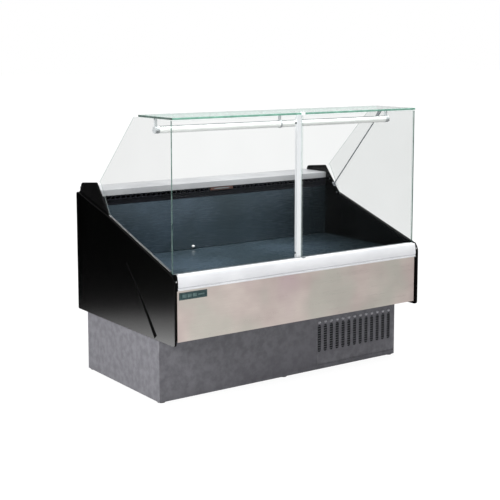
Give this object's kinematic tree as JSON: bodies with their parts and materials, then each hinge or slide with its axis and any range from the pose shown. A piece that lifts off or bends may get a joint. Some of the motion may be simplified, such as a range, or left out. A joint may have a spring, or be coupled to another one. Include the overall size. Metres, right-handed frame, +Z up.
{
  "type": "refrigerated deli case",
  "caption": "Straight-glass serve-over chilled counter on a closed plinth, with tilting front panes, a top glass and lamp, a deep display well and a rear worktop.",
  "frame": {"origin": "on the floor under the middle of the case", "axes": "+Z up, X along the case's length, -Y towards the customer's side"},
  "size_m": [1.5, 0.9514, 1.341],
  "materials": {
    "black_plastic": "satin moulded plastic",
    "wall_plastic": "satin moulded plastic",
    "plinth_paint": "textured powder coat",
    "stainless": "fine brushed",
    "rear_steel": "satin paint",
    "rail_aluminium": "bright satin anodised",
    "shoe_aluminium": "satin anodised",
    "clear_glass": "clear toughened, polished edges",
    "top_glass": "clear toughened, polished edges",
    "deck_steel": "satin plastic-coated sheet",
    "galvanised": "galvanised sheet",
    "coil_aluminium": "mill finish fins",
    "copper": "drawn copper tube",
    "black_enamel": "gloss enamel",
    "foam": null,
    "motor_black": "satin paint",
    "fan_plastic": "moulded",
    "foot_rubber": "moulded",
    "gland_plastic": "moulded",
    "pipe_plastic": "extruded",
    "screw_steel": "bright",
    "stay_steel": "satin black",
    "bracket_plastic": "moulded",
    "lamp_white": "opal diffuser",
    "badge_plate": "printed plate, plain",
    "thermometer_plastic": "moulded",
    "probe_plastic": "moulded",
    "control_fascia": "satin",
    "controller_plastic": "gloss",
    "power_rocker": "gloss",
    "lamp_rocker": "gloss"
  },
  "bodies": {
    "case": {"levelling_feet": "foot_rubber", "base_frame": "galvanised", "base_left_panel": "plinth_paint", "base_right_panel": "plinth_paint", "base_front_panel": "plinth_paint", "intake_grille": "plinth_paint", "base_rear_panel": "plinth_paint", "power_gland": "gland_plastic", "unit_plate": "galvanised", "compressor": "black_enamel", "condenser_coil": "coil_aluminium", "fan_shroud": "galvanised", "condenser_fan_motor": "motor_black", "refrigerant_pipes": "copper", "drain_pipe": "pipe_plastic", "tub": "galvanised", "insulation": "foam", "left_end_wall": "wall_plastic", "right_end_wall": "wall_plastic", "left_side_cover": "black_plastic", "right_side_cover": "black_plastic", "front_panel": "stainless", "badge_plate": "badge_plate", "bumper_rail": "rail_aluminium", "rear_panel": "rear_steel", "worktop": "stainless", "back_panel": "deck_steel", "air_outlet": "wall_plastic", "return_grille": "deck_steel", "evaporator_coil": "coil_aluminium", "fan_plate": "galvanised", "evaporator_fan_motors": "motor_black", "thermometer": "thermometer_plastic", "probe": "probe_plastic", "hinge_pins": "screw_steel", "centre_post": "rail_aluminium", "post_clip": "rail_aluminium", "trim_screws": "screw_steel", "top_glass": "top_glass", "left_side_glass": "clear_glass", "right_side_glass": "clear_glass", "glazing_channels": "rail_aluminium", "lamp_tube": "lamp_white", "lamp_brackets": "bracket_plastic", "lamp_stay": "stay_steel", "control_panel": "control_fascia", "controller": "controller_plastic"},
    "left_front_pane": {"left_glass_shoe": "shoe_aluminium", "left_front_glass": "clear_glass"},
    "right_front_pane": {"right_glass_shoe": "shoe_aluminium", "right_front_glass": "clear_glass"},
    "condenser_fan_rotor": {"condenser_fan": "fan_plastic"},
    "left_evaporator_fan": {"evaporator_fan_left": "fan_plastic"},
    "right_evaporator_fan": {"evaporator_fan_right": "fan_plastic"},
    "left_deck_pan": {"deck_pan_left": "deck_steel"},
    "centre_deck_pan": {"deck_pan_centre": "deck_steel"},
    "right_deck_pan": {"deck_pan_right": "deck_steel"},
    "meltwater_tray": {"drain_tray": "galvanised"},
    "power_rocker": {"power_switch": "power_rocker"},
    "lamp_rocker": {"lamp_switch": "lamp_rocker"}
  },
  "joints": [
    {"name": "left_glass_tilt", "type": "hinge", "parent": "case", "child": "left_front_pane", "pos_m": [0, -0.45625, 0.622], "axis": [1, 0, 0], "range_deg": [0, 80]},
    {"name": "right_glass_tilt", "type": "hinge", "parent": "case", "child": "right_front_pane", "pos_m": [0, -0.45625, 0.622], "axis": [1, 0, 0], "range_deg": [0, 80]},
    {"name": "condenser_fan_spin", "type": "hinge", "parent": "case", "child": "condenser_fan_rotor", "pos_m": [0.4, -0.21225, 0.185], "axis": [0, 1, 0], "continuous": true},
    {"name": "left_evaporator_fan_spin", "type": "hinge", "parent": "case", "child": "left_evaporator_fan", "pos_m": [-0.3, 0.13475, 0.478], "axis": [0, 1, 0], "continuous": true},
    {"name": "right_evaporator_fan_spin", "type": "hinge", "parent": "case", "child": "right_evaporator_fan", "pos_m": [0.3, 0.13475, 0.478], "axis": [0, 1, 0], "continuous": true},
    {"name": "left_deck_lift", "type": "slide", "parent": "case", "child": "left_deck_pan", "axis": [0, 0, 1], "range_m": [0, 0.25]},
    {"name": "centre_deck_lift", "type": "slide", "parent": "case", "child": "centre_deck_pan", "axis": [0, 0, 1], "range_m": [0, 0.25]},
    {"name": "right_deck_lift", "type": "slide", "parent": "case", "child": "right_deck_pan", "axis": [0, 0, 1], "range_m": [0, 0.25]},
    {"name": "tray_slide", "type": "slide", "parent": "case", "child": "meltwater_tray", "axis": [0, 1, 0], "range_m": [0, 0.42]},
    {"name": "power_rocker_tip", "type": "hinge", "parent": "case", "child": "power_rocker", "pos_m": [-0.38, 0.46675, 0.845], "axis": [-1, 0, 0], "range_deg": [0, 18]},
    {"name": "lamp_rocker_tip", "type": "hinge", "parent": "case", "child": "lamp_rocker", "pos_m": [-0.32, 0.46675, 0.845], "axis": [-1, 0, 0], "range_deg": [0, 18]}
  ]
}
